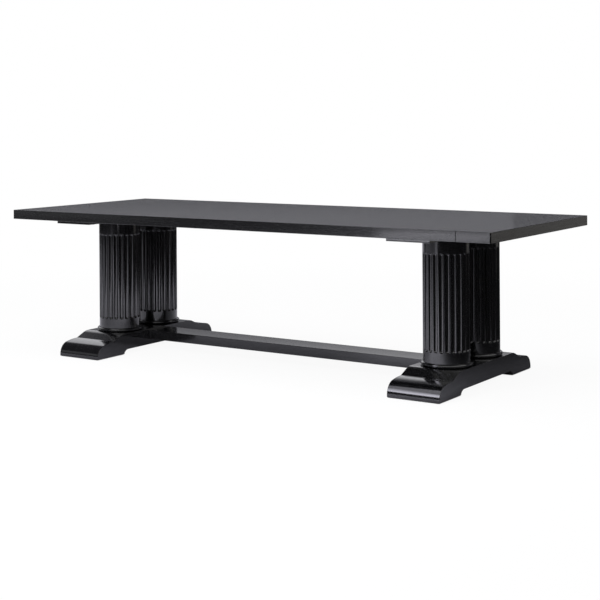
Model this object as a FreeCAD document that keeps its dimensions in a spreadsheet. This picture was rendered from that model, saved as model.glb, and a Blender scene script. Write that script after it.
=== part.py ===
import FreeCAD, Part
import enum
import math
import operator
import os
import Sketcher

# A trestle dining table of black-stained wood. A framed top lies on two trestles, each of two
# fluted hollow columns on a sled foot, and a flat stretcher ties the feet together.
# Millimetres. The origin is on the floor under the middle of the top, X along the table,
# Y across it towards the rear and Z up.

# Name, size and meaning of every driving dimension
DIMENSIONS = (
    ("table_height", 766, "floor to the upper face of the top"),
    ("top_length", 2800, "end to end of the top"),
    ("top_width", 1100, "front to rear of the top"),
    ("top_thickness", 48, "thickness of the panel and of the end boards"),
    ("board_edge_chamfer", 1.5, "softened arrises of the top's boards, the bearers and the stretcher"),
    ("end_board_width", 165, "each cross board, along the table"),
    ("tongue_length", 45, "reach of the panel's tongue into an end board"),
    ("tongue_thickness", 16, "height of the tongue"),
    ("tongue_setback", 70, "front edge of the top to the end of the tongue"),
    ("joint_clearance", 0.5, "room around tongues, tenons, spigots and plugs in their sockets"),
    ("peg_diameter", 10, "pegs through the tongues"),
    ("peg_length", 36, "pegs, upward from the underside of the top"),
    ("peg_spacing", 380, "between the three pegs of an end board"),
    ("bearer_width", 220, "bearer along the table"),
    ("bearer_thickness", 14, "bearer between columns and top"),
    ("bearer_setback", 22, "front edge of the top to the end of a bearer"),
    ("trestle_inset", 410, "end of the top to the middle of a trestle"),
    ("column_spacing", 320, "between the axes of a trestle's columns"),
    ("column_diameter", 220, "shaft over the arrises between flutes"),
    ("column_bore", 150, "hollow of the shaft"),
    ("flute_count", 24, "flutes around a shaft"),
    ("flute_radius", 11, "hollow of a flute"),
    ("flute_standoff", 3.3, "surface of the shaft to the axis of a flute, outward"),
    ("flute_run_out", 11, "length of the cone that would close the end of a flute"),
    ("flute_bottom_margin", 48, "plain band below the flutes"),
    ("flute_top_margin", 71, "plain band above the flutes"),
    ("base_height", 18, "half-round base under a shaft"),
    ("base_projection", 12, "base beyond the shaft"),
    ("spigot_length", 28, "turned spigot of the base inside the shaft"),
    ("head_thickness", 40, "plug in the top of a shaft"),
    ("foot_length", 980, "sled foot, front to rear"),
    ("foot_width", 264, "sled foot, along the table"),
    ("foot_height", 109, "floor to the flat that carries the columns"),
    ("foot_top_length", 540, "flat that carries the columns"),
    ("toe_height", 79.5, "floor to the crest of a toe"),
    ("toe_face_height", 11, "floor to the upper end of the toe's upright face"),
    ("toe_length", 130, "toe's upright face to its crest, where the incline starts"),
    ("toe_nose_radius", 61, "round of the toe above its upright face"),
    ("incline_length", 50, "level run of the straight incline behind the crest"),
    ("incline_rise", 21.3, "climb of the incline, before it rounds over to the flat"),
    ("arch_height", 24, "floor to the underside between the pads"),
    ("pad_length", 213, "each bearing pad of a foot, front to rear"),
    ("pad_step", 5, "upright inner end of a pad"),
    ("cove_length", 32, "hollow curve from a pad up to the arch"),
    ("stretcher_width", 156, "stretcher, front to rear"),
    ("stretcher_thickness", 48, "stretcher, lower to upper face"),
    ("stretcher_height", 54, "floor to the stretcher's lower face"),
    ("tenon_length", 70, "tenon in the foot"),
    ("tenon_width", 110, "tenon, front to rear"),
    ("tenon_thickness", 28, "tenon, lower to upper face"),
    ("hole_clearance", 1, "bolt and rod holes over the shank, on the diameter"),
    ("recess_clearance", 4, "recesses for washers over the washer, on the diameter"),
    ("rod_diameter", 12, "tie rod through a column"),
    ("rod_seat_height", 54, "floor to the washer's seat in the foot"),
    ("rod_tail", 4, "rod below its nut"),
    ("rod_tip_gap", 3, "underside of the bearer to the tip of a rod"),
    ("nut_width", 18, "nut across its flats"),
    ("nut_height", 10, "nut along the rod"),
    ("washer_diameter", 36, "washer under the foot"),
    ("washer_thickness", 3, "washer under the foot"),
    ("tee_flange_diameter", 32, "tee nut on the head plug"),
    ("tee_flange_thickness", 3, "tee nut's flange"),
    ("tee_barrel_diameter", 16, "tee nut's barrel"),
    ("tee_barrel_length", 18, "tee nut's barrel below its flange"),
    ("dowel_diameter", 10, "dowels under a column base"),
    ("dowel_length", 24, "half in the base and half in the foot"),
    ("dowel_spacing", 130, "between the two dowels of a base"),
    ("bearer_screw_diameter", 5, "screws from bearer to head plug"),
    ("bearer_screw_length", 44, "under the head"),
    ("bearer_screw_spacing", 80, "between the two screws over a column"),
    ("bearer_screw_head_diameter", 10, "head let into the bearer"),
    ("bearer_screw_head_height", 3, "head let into the bearer"),
    ("top_screw_diameter", 6, "screws from bearer to top"),
    ("top_screw_length", 40, "under the head"),
    ("top_screw_head_diameter", 14, "pan head below the bearer"),
    ("top_screw_head_height", 4, "pan head below the bearer"),
    ("top_screw_play", 3, "hole in the bearer over the screw, for the top to swell and shrink"),
    ("top_screw_side_inset", 35, "edge of the bearer to a top screw"),
    ("top_screw_end_inset", 70, "end of the bearer to its last top screws"),
    ("bolt_diameter", 8, "bolts that hold the tenons"),
    ("bolt_seat_height", 42, "floor to the bolt washer's seat in the foot"),
    ("bolt_head_width", 13, "bolt head across its flats"),
    ("bolt_head_height", 5.5, "bolt head"),
    ("bolt_washer_diameter", 20, "washer under a bolt head"),
    ("bolt_washer_thickness", 2, "washer under a bolt head"),
    ("bolt_spacing", 60, "between the two bolts of a tenon"),
    ("bolt_tip_gap", 3, "upper end of the insert to the tip of a bolt"),
    ("insert_diameter", 13, "threaded insert in the tenon"),
    ("insert_length", 22, "threaded insert in the tenon"),
    ("glide_diameter", 32, "glides under the pads"),
    ("glide_height", 2, "floor to the underside of a pad"),
    ("glide_pin_diameter", 5, "pin of a glide in the foot"),
    ("glide_pin_length", 16, "pin of a glide in the foot"),
    ("glide_inset", 45, "side of the foot to the middle of a glide"),
)

SIDES = (("left", -1), ("right", 1))
ENDS = (("front", -1), ("rear", 1))
PAIR = (-1, 1)
HEXAGON_SIDE_COUNT = 6
FULL_TURN = 360
ORIGIN_POINT = (-1, 1)
NEAR = 1e-4

OPERATIONS = {"+": operator.add, "-": operator.sub, "*": operator.mul, "/": operator.truediv}


class Spot(enum.IntEnum):
    """Point of a sketch element that a constraint holds."""

    START = 1
    END = 2
    CENTRE = 3


class Size:
    """A length worked out from the sheet, as a number and as the expression behind it."""

    def __init__(self, value, formula):
        self.value = value
        self.formula = formula

    def __add__(self, other):
        return joined(self, "+", other)

    def __radd__(self, other):
        return joined(other, "+", self)

    def __sub__(self, other):
        return joined(self, "-", other)

    def __rsub__(self, other):
        return joined(other, "-", self)

    def __mul__(self, other):
        return joined(self, "*", other)

    def __rmul__(self, other):
        return joined(other, "*", self)

    def __truediv__(self, other):
        return joined(self, "/", other)


def as_size(length):
    """Give a plain number the form of a size."""
    return length if isinstance(length, Size) else Size(length, f"({length})")


def joined(left, sign, right):
    """Combine two sizes, or a size and a plain number."""
    left = as_size(left)
    right = as_size(right)
    value = OPERATIONS[sign](left.value, right.value)
    return Size(value, f"({left.formula} {sign} {right.formula})")


class DimensionSheet:
    """The sheet of driving dimensions, each read as a size under its own name."""

    def __init__(self, owner):
        self.sheet = owner.addObject("Spreadsheet::Sheet", "Sizes")
        for row, (name, value, meaning) in enumerate(DIMENSIONS, start=1):
            self.sheet.set(f"A{row}", name)
            self.sheet.set(f"B{row}", str(value))
            self.sheet.set(f"C{row}", meaning)
            self.sheet.setAlias(f"B{row}", name)

    def __getattr__(self, name):
        return Size(float(self.sheet.get(name)), f"Sizes.{name}")


document = FreeCAD.newDocument("dining_table")
size = DimensionSheet(document)
document.recompute()
nodes = []

# Places that several pieces share
top_underside = size.table_height - size.top_thickness
bearer_underside = top_underside - size.bearer_thickness
bearer_length = size.top_width - 2 * size.bearer_setback
panel_length = size.top_length - 2 * size.end_board_width
tongue_level = (size.top_thickness - size.tongue_thickness) / 2
tongue_width = size.top_width - 2 * size.tongue_setback
column_bottom = size.foot_height + size.base_height
column_length = bearer_underside - column_bottom
trestle_place = size.top_length / 2 - size.trestle_inset
column_place = size.column_spacing / 2
rod_hole = size.rod_diameter + size.hole_clearance
stretcher_length = 2 * trestle_place - size.foot_width
tenon_level = size.stretcher_height + (size.stretcher_thickness - size.tenon_thickness) / 2
bolt_inset = size.tenon_length / 2
pad_inner = size.foot_length / 2 - size.pad_length
peg_rows = [step * size.peg_spacing for step in (-1, 0, 1)]
dowel_places = [(end * size.dowel_spacing / 2, 0) for end in PAIR]
bearer_screw_places = [(x * size.bearer_screw_spacing / 2, 0) for x in PAIR]
top_screw_places = [(x * (size.bearer_width / 2 - size.top_screw_side_inset),
                     y * (bearer_length / 2 - size.top_screw_end_inset))
                    for x in PAIR for y in (-1, 0, 1)]
glide_places = [(x * (size.foot_width / 2 - size.glide_inset), size.foot_length / 2 - size.pad_length / 2)
                for x in PAIR]


def bind(thing, name, length):
    """Tie one property of an object to the sheet."""
    thing.setExpression(name, as_size(length).formula)


def place(thing, x, y, z):
    """Tie an object's place to the sheet."""
    for axis, distance in zip("xyz", (x, y, z)):
        bind(thing, f"Placement.Base.{axis}", distance)


def new_body(label, x=0, y=0, z=0):
    """Start a sub-part that is made from sketches."""
    body = document.addObject("PartDesign::Body", label)
    body.Label = label
    place(body, x, y, z)
    nodes.append(body)
    return body


def origin_feature(body, role):
    """Find one of a body's own planes or axes."""
    return next(item for item in body.Origin.OriginFeatures if item.Role == role)


def new_sketch(body, name, role, across=0, level=0):
    """Add a sketch on an origin plane, moved across it and along its normal."""
    sketch = body.newObject("Sketcher::SketchObject", name)
    sketch.AttachmentSupport = [(origin_feature(body, role), "")]
    sketch.MapMode = "FlatFace"
    bind(sketch, "AttachmentOffset.Base.x", across)
    bind(sketch, "AttachmentOffset.Base.z", level)
    return sketch


def point(corner):
    """Starting place of a sketch point."""
    return FreeCAD.Vector(as_size(corner[0]).value, as_size(corner[1]).value, 0)


def pin_one(sketch, kind, element, end, distance):
    """Hold a sketch point at a distance from the sketch's origin, across or up."""
    length = as_size(distance)
    number = sketch.addConstraint(Sketcher.Constraint(kind, *ORIGIN_POINT, element, end, length.value))
    bind(sketch, f"Constraints[{number}]", length)


def pin(sketch, element, end, corner):
    """Hold a sketch point at a corner."""
    pin_one(sketch, "DistanceX", element, end, corner[0])
    pin_one(sketch, "DistanceY", element, end, corner[1])


def end_on(sketch, element, corner):
    """Tell which end of a sketch element lies on a corner."""
    start = sketch.Geometry[element].StartPoint
    return Spot.START if (start - point(corner)).Length < NEAR else Spot.END


def draw_line(sketch, first, last):
    """Add a line between two corners."""
    return sketch.addGeometry(Part.LineSegment(point(first), point(last)))


def draw_arc(sketch, centre, first, last):
    """Add the arc that turns anticlockwise about a centre from one corner to another."""
    middle = point(centre)
    angles = [math.atan2(spoke.y, spoke.x) for spoke in (point(first) - middle, point(last) - middle)]
    circle = Part.Circle(middle, FreeCAD.Vector(0, 0, 1), (point(first) - middle).Length)
    return sketch.addGeometry(Part.ArcOfCircle(circle, *angles))


def close_outline(sketch, elements, corners, loose=()):
    """Join elements into one ring through their corners and hold every corner that isn't loose."""
    for index, corner in enumerate(corners):
        before = elements[index - 1]
        after = elements[index]
        ends = (before, end_on(sketch, before, corner), after, end_on(sketch, after, corner))
        if index in loose:
            sketch.addConstraint(Sketcher.Constraint("Tangent", *ends))
        else:
            sketch.addConstraint(Sketcher.Constraint("Coincident", *ends))
            pin(sketch, ends[2], ends[3], corner)


def draw_polygon(sketch, corners):
    """Draw a closed outline of straight lines."""
    elements = [draw_line(sketch, corner, corners[(index + 1) % len(corners)])
                for index, corner in enumerate(corners)]
    close_outline(sketch, elements, corners)


def draw_rectangle(sketch, low, high):
    """Draw a rectangle between two opposite corners."""
    draw_polygon(sketch, [low, (high[0], low[1]), high, (low[0], high[1])])


def draw_centred(sketch, length, width):
    """Draw a rectangle about the sketch's origin."""
    draw_rectangle(sketch, (-1 * length / 2, -1 * width / 2), (length / 2, width / 2))


def draw_circle(sketch, centre, diameter):
    """Draw a circle of a given diameter."""
    circle = Part.Circle(point(centre), FreeCAD.Vector(0, 0, 1), diameter.value / 2)
    element = sketch.addGeometry(circle)
    pin(sketch, element, Spot.CENTRE, centre)
    number = sketch.addConstraint(Sketcher.Constraint("Diameter", element, diameter.value))
    bind(sketch, f"Constraints[{number}]", diameter)


def pad(body, sketch, length, both_ways=False):
    """Raise a sketch into a solid."""
    feature = body.newObject("PartDesign::Pad", f"{sketch.Name}_pad")
    feature.Profile = sketch
    feature.SideType = "Symmetric" if both_ways else "One side"
    bind(feature, "Length", length)
    return feature


def cut_up(body, sketch, depth):
    """Cut a level sketch upward into the solid."""
    feature = body.newObject("PartDesign::Pocket", f"{sketch.Name}_cut")
    feature.Profile = sketch
    feature.Reversed = True
    bind(feature, "Length", depth)
    return feature


def drill(body, name, places, diameter, low, high):
    """Cut upright round holes between two levels."""
    sketch = new_sketch(body, f"{body.Name}_{name}", "XY_Plane", level=low)
    for centre in places:
        draw_circle(sketch, centre, diameter)
    return cut_up(body, sketch, high - low)


def soften(body, feature, width):
    """Chamfer every edge of a plain board."""
    document.recompute()
    chamfer = body.newObject("PartDesign::Chamfer", f"{feature.Name}_soft")
    chamfer.Base = (feature, ["Edge1"])
    chamfer.UseAllEdges = True
    bind(chamfer, "Size", width)


def board(body, length, width, thickness):
    """Make a board with softened arrises, its underside on the body's own floor."""
    sketch = new_sketch(body, f"{body.Name}_face", "XY_Plane")
    draw_centred(sketch, length, width)
    soften(body, pad(body, sketch, thickness), size.board_edge_chamfer)


def block(body, name, low, high, bottom, top):
    """Add a rectangular block between two levels."""
    sketch = new_sketch(body, f"{body.Name}_{name}", "XY_Plane", level=bottom)
    draw_rectangle(sketch, low, high)
    return pad(body, sketch, top - bottom)


def socket(body, name, low, high, bottom, top):
    """Cut a rectangular socket between two levels."""
    sketch = new_sketch(body, f"{body.Name}_{name}", "XY_Plane", level=bottom)
    draw_rectangle(sketch, low, high)
    return cut_up(body, sketch, top - bottom)


def make_top_panel():
    """Long field of the top with a tongue at each end."""
    body = new_body("top_panel", z=top_underside)
    board(body, panel_length, size.top_width, size.top_thickness)
    reach = panel_length / 2 + size.tongue_length
    block(body, "tongue", (-1 * reach, -1 * tongue_width / 2), (reach, tongue_width / 2),
          tongue_level, tongue_level + size.tongue_thickness)
    pegs = [(side * (panel_length / 2 + size.tongue_length / 2), row) for side in PAIR for row in peg_rows]
    drill(body, "peg_holes", pegs, size.peg_diameter, tongue_level, tongue_level + size.tongue_thickness)
    screws = [(side * trestle_place + x, y) for side in PAIR for x, y in top_screw_places]
    drill(body, "screw_holes", screws, size.top_screw_diameter, as_size(0),
          size.top_screw_length - size.bearer_thickness)


def make_end_board(name, side):
    """Cross board with a stopped groove for the panel's tongue."""
    middle = panel_length / 2 + size.end_board_width / 2
    body = new_body(f"end_board_{name}", x=side * middle, z=top_underside)
    board(body, size.end_board_width, size.top_width, size.top_thickness)
    inner = -side * size.end_board_width / 2
    bottom = inner + side * (size.tongue_length + size.joint_clearance)
    half = tongue_width / 2 + size.joint_clearance
    socket(body, "groove", (inner, -1 * half), (bottom, half),
           tongue_level - size.joint_clearance, tongue_level + size.tongue_thickness + size.joint_clearance)
    pegs = [(inner + side * size.tongue_length / 2, row) for row in peg_rows]
    drill(body, "peg_holes", pegs, size.peg_diameter, as_size(0), size.peg_length)


def make_bearer(name, side):
    """Thin board that ties a trestle's columns and carries the top."""
    body = new_body(f"bearer_{name}", x=side * trestle_place, z=bearer_underside)
    board(body, size.bearer_width, bearer_length, size.bearer_thickness)
    drill(body, "top_screw_holes", top_screw_places, size.top_screw_diameter + size.top_screw_play,
          as_size(0), size.bearer_thickness)
    screws = [(x, end * column_place + y) for end in PAIR for x, y in bearer_screw_places]
    drill(body, "screw_holes", screws, size.bearer_screw_diameter, as_size(0), size.bearer_thickness)
    drill(body, "screw_heads", screws, size.bearer_screw_head_diameter,
          size.bearer_thickness - size.bearer_screw_head_height, size.bearer_thickness)


def make_column(name, x, y):
    """Hollow shaft with flutes that run out short of a plain band above and below."""
    body = new_body(f"column_{name}", x, y, column_bottom)
    ring = new_sketch(body, f"{body.Name}_ring", "XY_Plane")
    draw_circle(ring, (0, 0), size.column_diameter)
    draw_circle(ring, (0, 0), size.column_bore)
    pad(body, ring, column_length)
    seen_run_out = size.flute_run_out * (1 - size.flute_standoff / size.flute_radius)
    low = size.flute_bottom_margin + seen_run_out
    high = column_length - size.flute_top_margin - seen_run_out
    inner = -1 * size.flute_radius
    flute = new_sketch(body, f"{body.Name}_flute", "XZ_Plane",
                       across=size.column_diameter / 2 + size.flute_standoff)
    draw_polygon(flute, [(0, low - size.flute_run_out), (0, high + size.flute_run_out),
                         (inner, high), (inner, low)])
    groove = body.newObject("PartDesign::Groove", f"{body.Name}_flute_cut")
    groove.Profile = flute
    groove.ReferenceAxis = (flute, ["V_Axis"])
    groove.Angle = FULL_TURN
    pattern = body.newObject("PartDesign::PolarPattern", f"{body.Name}_flutes")
    pattern.Originals = [groove]
    pattern.Axis = (origin_feature(body, "Z_Axis"), [""])
    pattern.Angle = FULL_TURN
    bind(pattern, "Occurrences", size.flute_count)
    body.Tip = pattern


def make_column_base(name, x, y):
    """Turned base with a half-round edge and a spigot that centres the shaft."""
    body = new_body(f"column_base_{name}", x, y, size.foot_height)
    edge = size.column_diameter / 2 + size.base_projection - size.base_height / 2
    spigot = size.column_bore / 2 - size.joint_clearance
    spigot_top = size.base_height + size.spigot_length
    hole = rod_hole / 2
    corners = [(hole, 0), (edge, 0), (edge, size.base_height), (spigot, size.base_height),
               (spigot, spigot_top), (hole, spigot_top)]
    profile = new_sketch(body, f"{body.Name}_profile", "XZ_Plane")
    elements = [draw_line(profile, corners[index], corners[(index + 1) % len(corners)])
                if index != 1 else draw_arc(profile, (edge, size.base_height / 2), corners[1], corners[2])
                for index in range(len(corners))]
    close_outline(profile, elements, corners)
    pin_one(profile, "DistanceX", elements[1], Spot.CENTRE, edge)
    turned = body.newObject("PartDesign::Revolution", f"{body.Name}_turned")
    turned.Profile = profile
    turned.ReferenceAxis = (profile, ["V_Axis"])
    turned.Angle = FULL_TURN
    drill(body, "dowel_holes", dowel_places, size.dowel_diameter, as_size(0), size.dowel_length / 2)


def make_column_head(name, x, y):
    """Plug flush with the top of a shaft, which holds the tee nut and the bearer's screws."""
    body = new_body(f"column_head_{name}", x, y, bearer_underside - size.head_thickness)
    disc = new_sketch(body, f"{body.Name}_disc", "XY_Plane")
    draw_circle(disc, (0, 0), size.column_bore - 2 * size.joint_clearance)
    draw_circle(disc, (0, 0), rod_hole)
    pad(body, disc, size.head_thickness)
    flange = size.head_thickness - size.tee_flange_thickness
    drill(body, "flange_seat", [(0, 0)], size.tee_flange_diameter, flange, size.head_thickness)
    drill(body, "barrel_hole", [(0, 0)], size.tee_barrel_diameter, flange - size.tee_barrel_length, flange)
    grip = size.bearer_screw_length - (size.bearer_thickness - size.bearer_screw_head_height)
    drill(body, "screw_holes", bearer_screw_places, size.bearer_screw_diameter,
          size.head_thickness - grip, size.head_thickness)


def draw_foot_profile(sketch):
    """Draw the rear half of a foot's side: arch, cove, pad, bullnosed toe, incline and flat."""
    toe = size.foot_length / 2
    crest = toe - size.toe_length
    incline = crest - size.incline_length
    incline_top = size.toe_height + size.incline_rise
    flat = size.foot_top_length / 2
    cove = pad_inner - size.cove_length
    step_top = size.glide_height + size.pad_step
    nose_run = size.toe_length - size.toe_nose_radius
    nose_rise = size.toe_height - size.toe_face_height

    def sweep(run, drop):
        """Radius of an arc that starts level and drops by so much over a run."""
        return (run * run + drop * drop) / (2 * drop)

    cove_centre = (cove, size.arch_height - sweep(size.cove_length, size.arch_height - step_top))
    nose_centre = (toe - size.toe_nose_radius, size.toe_face_height)
    crown_radius = (nose_run * nose_run + nose_rise * nose_rise - size.toe_nose_radius * size.toe_nose_radius) / (
        2 * (nose_rise - size.toe_nose_radius))
    crown_centre = (crest, size.toe_height - crown_radius)
    shoulder_centre = (flat, size.foot_height - sweep(incline - flat, size.foot_height - incline_top))
    blend = size.toe_nose_radius / (crown_radius - size.toe_nose_radius)
    nose_end = tuple(nose + (nose - crown) * blend for nose, crown in zip(nose_centre, crown_centre))
    corners = [(0, size.arch_height), (cove, size.arch_height), (pad_inner, step_top),
               (pad_inner, size.glide_height), (toe, size.glide_height), (toe, size.toe_face_height),
               nose_end, (crest, size.toe_height), (incline, incline_top),
               (flat, size.foot_height), (0, size.foot_height)]
    elements = [draw_line(sketch, corners[0], corners[1]),
                draw_arc(sketch, cove_centre, corners[2], corners[1]),
                draw_line(sketch, corners[2], corners[3]),
                draw_line(sketch, corners[3], corners[4]),
                draw_line(sketch, corners[4], corners[5]),
                draw_arc(sketch, nose_centre, corners[5], corners[6]),
                draw_arc(sketch, crown_centre, corners[6], corners[7]),
                draw_line(sketch, corners[7], corners[8]),
                draw_arc(sketch, shoulder_centre, corners[8], corners[9]),
                draw_line(sketch, corners[9], corners[10]),
                draw_line(sketch, corners[10], corners[0])]
    close_outline(sketch, elements, corners, loose=(corners.index(nose_end),))
    for element, centre in ((1, cove), (6, crest), (8, flat)):
        pin_one(sketch, "DistanceX", elements[element], Spot.CENTRE, centre)
    pin(sketch, elements[5], Spot.CENTRE, nose_centre)


def make_foot(name, side):
    """Sled foot, arched beneath, with seats for rods, dowels, glides and the stretcher's tenon."""
    body = new_body(f"foot_{name}", x=side * trestle_place)
    profile = new_sketch(body, f"{body.Name}_profile", "YZ_Plane")
    draw_foot_profile(profile)
    half = pad(body, profile, size.foot_width, both_ways=True)
    whole = body.newObject("PartDesign::Mirrored", f"{body.Name}_mirrored")
    whole.Originals = [half]
    whole.MirrorPlane = (origin_feature(body, "XZ_Plane"), [""])
    body.Tip = whole
    floor = as_size(0)
    rods = [(0, end * column_place) for end in PAIR]
    drill(body, "rod_holes", rods, rod_hole, floor, size.foot_height)
    drill(body, "rod_recesses", rods, size.washer_diameter + size.recess_clearance, floor,
          size.rod_seat_height)
    dowels = [(x, end * column_place) for end in PAIR for x, y in dowel_places]
    drill(body, "dowel_holes", dowels, size.dowel_diameter,
          size.foot_height - size.dowel_length / 2, size.foot_height)
    face = -side * size.foot_width / 2
    bottom = face + side * (size.tenon_length + size.joint_clearance)
    reach = size.tenon_width / 2 + size.joint_clearance
    socket(body, "mortise", (face, -1 * reach), (bottom, reach), tenon_level - size.joint_clearance,
           tenon_level + size.tenon_thickness + size.joint_clearance)
    bolts = [(face + side * bolt_inset, end * size.bolt_spacing / 2) for end in PAIR]
    drill(body, "bolt_holes", bolts, size.bolt_diameter + size.hole_clearance, floor, tenon_level)
    drill(body, "bolt_recesses", bolts, size.bolt_washer_diameter + size.recess_clearance, floor,
          size.bolt_seat_height)
    pins = [(x, end * y) for end in PAIR for x, y in glide_places]
    drill(body, "pin_holes", pins, size.glide_pin_diameter, size.glide_height,
          size.glide_height + size.glide_pin_length)


def make_stretcher():
    """Flat rail between the feet, with a tenon at each end."""
    body = new_body("stretcher", z=size.stretcher_height)
    board(body, stretcher_length, size.stretcher_width, size.stretcher_thickness)
    reach = stretcher_length / 2 + size.tenon_length
    half = size.tenon_width / 2
    level = tenon_level - size.stretcher_height
    block(body, "tenon", (-1 * reach, -1 * half), (reach, half), level, level + size.tenon_thickness)
    inserts = [(side * (stretcher_length / 2 + bolt_inset), end * size.bolt_spacing / 2)
               for side in PAIR for end in PAIR]
    drill(body, "insert_holes", inserts, size.insert_diameter, level, level + size.insert_length)


def cylinder(diameter, x, y, low, high):
    """Upright round bar between two levels."""
    bar = document.addObject("Part::Cylinder", "bar")
    bind(bar, "Radius", diameter / 2)
    bind(bar, "Height", high - low)
    place(bar, x, y, low)
    return bar


def hexagon(width, x, y, low, high):
    """Upright hexagonal bar between two levels, by its width across flats."""
    bar = document.addObject("Part::Prism", "hexagon")
    bar.Polygon = HEXAGON_SIDE_COUNT
    bind(bar, "Circumradius", width / (2 * math.cos(math.pi / HEXAGON_SIDE_COUNT)))
    bind(bar, "Height", high - low)
    place(bar, x, y, low)
    return bar


def bored(outer, diameter, x, y, low, high):
    """Take a round hole out of a bar."""
    result = document.addObject("Part::Cut", "bored")
    result.Base = outer
    result.Tool = cylinder(diameter, x, y, low, high)
    return result


def welded(*bars):
    """Make one solid of bars that stand on each other."""
    result = document.addObject("Part::MultiFuse", "welded")
    result.Shapes = list(bars)
    return result


def group(label, solids):
    """Keep identical small pieces together as one sub-part of separate solids."""
    collection = document.addObject("Part::Compound", label)
    collection.Label = label
    collection.Links = solids
    nodes.append(collection)


def make_end_board_pegs():
    """Pegs through the tongues, flush with the underside of the top."""
    places = [(side * (panel_length / 2 + size.tongue_length / 2), row) for side in PAIR for row in peg_rows]
    group("end_board_pegs", [cylinder(size.peg_diameter, x, y, top_underside, top_underside + size.peg_length)
                             for x, y in places])


def make_column_fasteners(axes):
    """Rod, nut, washer and tee nut of each column, and the dowels under its base."""
    washer_low = size.rod_seat_height - size.washer_thickness
    nut_low = washer_low - size.nut_height
    flange_low = bearer_underside - size.tee_flange_thickness
    barrel_low = flange_low - size.tee_barrel_length
    group("tie_rods", [cylinder(size.rod_diameter, x, y, nut_low - size.rod_tail,
                                bearer_underside - size.rod_tip_gap) for x, y in axes])
    group("tie_rod_nuts", [bored(hexagon(size.nut_width, x, y, nut_low, washer_low),
                                 size.rod_diameter, x, y, nut_low, washer_low) for x, y in axes])
    group("tie_rod_washers", [bored(cylinder(size.washer_diameter, x, y, washer_low, size.rod_seat_height),
                                    rod_hole, x, y, washer_low, size.rod_seat_height) for x, y in axes])
    group("tee_nuts", [bored(welded(cylinder(size.tee_barrel_diameter, x, y, barrel_low, flange_low),
                                    cylinder(size.tee_flange_diameter, x, y, flange_low, bearer_underside)),
                             size.rod_diameter, x, y, barrel_low, bearer_underside) for x, y in axes])
    group("base_dowels", [cylinder(size.dowel_diameter, x + across, y, size.foot_height - size.dowel_length / 2,
                                   size.foot_height + size.dowel_length / 2)
                          for x, y in axes for across, along in dowel_places])


def make_bearer_screws(axes):
    """Screws from the bearers down into the head plugs, heads flush with the bearers."""
    head_low = top_underside - size.bearer_screw_head_height
    group("bearer_screws", [welded(cylinder(size.bearer_screw_diameter, x + across, y + along,
                                            head_low - size.bearer_screw_length, head_low),
                                   cylinder(size.bearer_screw_head_diameter, x + across, y + along,
                                            head_low, top_underside))
                            for x, y in axes for across, along in bearer_screw_places])


def make_top_screws():
    """Pan-head screws through the bearers up into the top."""
    head_low = bearer_underside - size.top_screw_head_height
    group("top_screws", [welded(cylinder(size.top_screw_head_diameter, side * trestle_place + x, y,
                                         head_low, bearer_underside),
                                cylinder(size.top_screw_diameter, side * trestle_place + x, y,
                                         bearer_underside, bearer_underside + size.top_screw_length))
                         for side in PAIR for x, y in top_screw_places])


def make_stretcher_fasteners():
    """Bolts with washers from below the feet into threaded inserts in the tenons."""
    places = [(side * (stretcher_length / 2 + bolt_inset), end * size.bolt_spacing / 2)
              for side in PAIR for end in PAIR]
    washer_low = size.bolt_seat_height - size.bolt_washer_thickness
    head_low = washer_low - size.bolt_head_height
    insert_high = tenon_level + size.insert_length
    group("stretcher_bolts", [welded(hexagon(size.bolt_head_width, x, y, head_low, washer_low),
                                     cylinder(size.bolt_diameter, x, y, washer_low,
                                              insert_high - size.bolt_tip_gap)) for x, y in places])
    group("stretcher_bolt_washers", [bored(cylinder(size.bolt_washer_diameter, x, y, washer_low,
                                                    size.bolt_seat_height),
                                           size.bolt_diameter + size.hole_clearance, x, y, washer_low,
                                           size.bolt_seat_height) for x, y in places])
    group("stretcher_inserts", [bored(cylinder(size.insert_diameter, x, y, tenon_level, insert_high),
                                      size.bolt_diameter, x, y, tenon_level, insert_high) for x, y in places])


def make_glides(name, side, end):
    """Two round glides with pins, under one pad of a foot."""
    top = size.glide_height + size.glide_pin_length
    group(f"glides_{name}", [welded(cylinder(size.glide_diameter, side * trestle_place + x, end * y,
                                             as_size(0), size.glide_height),
                                    cylinder(size.glide_pin_diameter, side * trestle_place + x, end * y,
                                             size.glide_height, top)) for x, y in glide_places])


def check_features():
    """Stop if anything failed to build or a cut took nothing away."""
    for item in document.Objects:
        if "Invalid" in item.State or "Error" in item.State:
            raise RuntimeError(f"{item.Name} did not build: {item.State}")
        if item.TypeId in ("PartDesign::Pocket", "PartDesign::Groove", "PartDesign::PolarPattern"):
            if item.Shape.Volume >= item.BaseFeature.Shape.Volume:
                raise RuntimeError(f"{item.Name} cuts nothing")
    for node in nodes:
        if node.Shape.isNull() or not node.Shape.isValid():
            raise RuntimeError(f"{node.Label} has no sound shape")


make_top_panel()
make_end_board_pegs()
column_axes = []
for side_name, side_sign in SIDES:
    make_end_board(side_name, side_sign)
    make_bearer(side_name, side_sign)
    make_foot(side_name, side_sign)
    for end_name, end_sign in ENDS:
        corner_name = f"{side_name}_{end_name}"
        axis = (side_sign * trestle_place, end_sign * column_place)
        make_column(corner_name, *axis)
        make_column_base(corner_name, *axis)
        make_column_head(corner_name, *axis)
        make_glides(corner_name, side_sign, end_sign)
        column_axes.append(axis)
make_stretcher()
make_column_fasteners(column_axes)
make_bearer_screws(column_axes)
make_top_screws()
make_stretcher_fasteners()

document.recompute()
check_features()
os.makedirs("parts", exist_ok=True)
for node in nodes:
    node.Shape.exportStep(os.path.join("parts", f"{node.Label}.step"))
    print(f"{node.Label}: {len(node.Shape.Solids)} solids, {node.Shape.Volume / 1e3:.1f} cm3")
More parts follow.
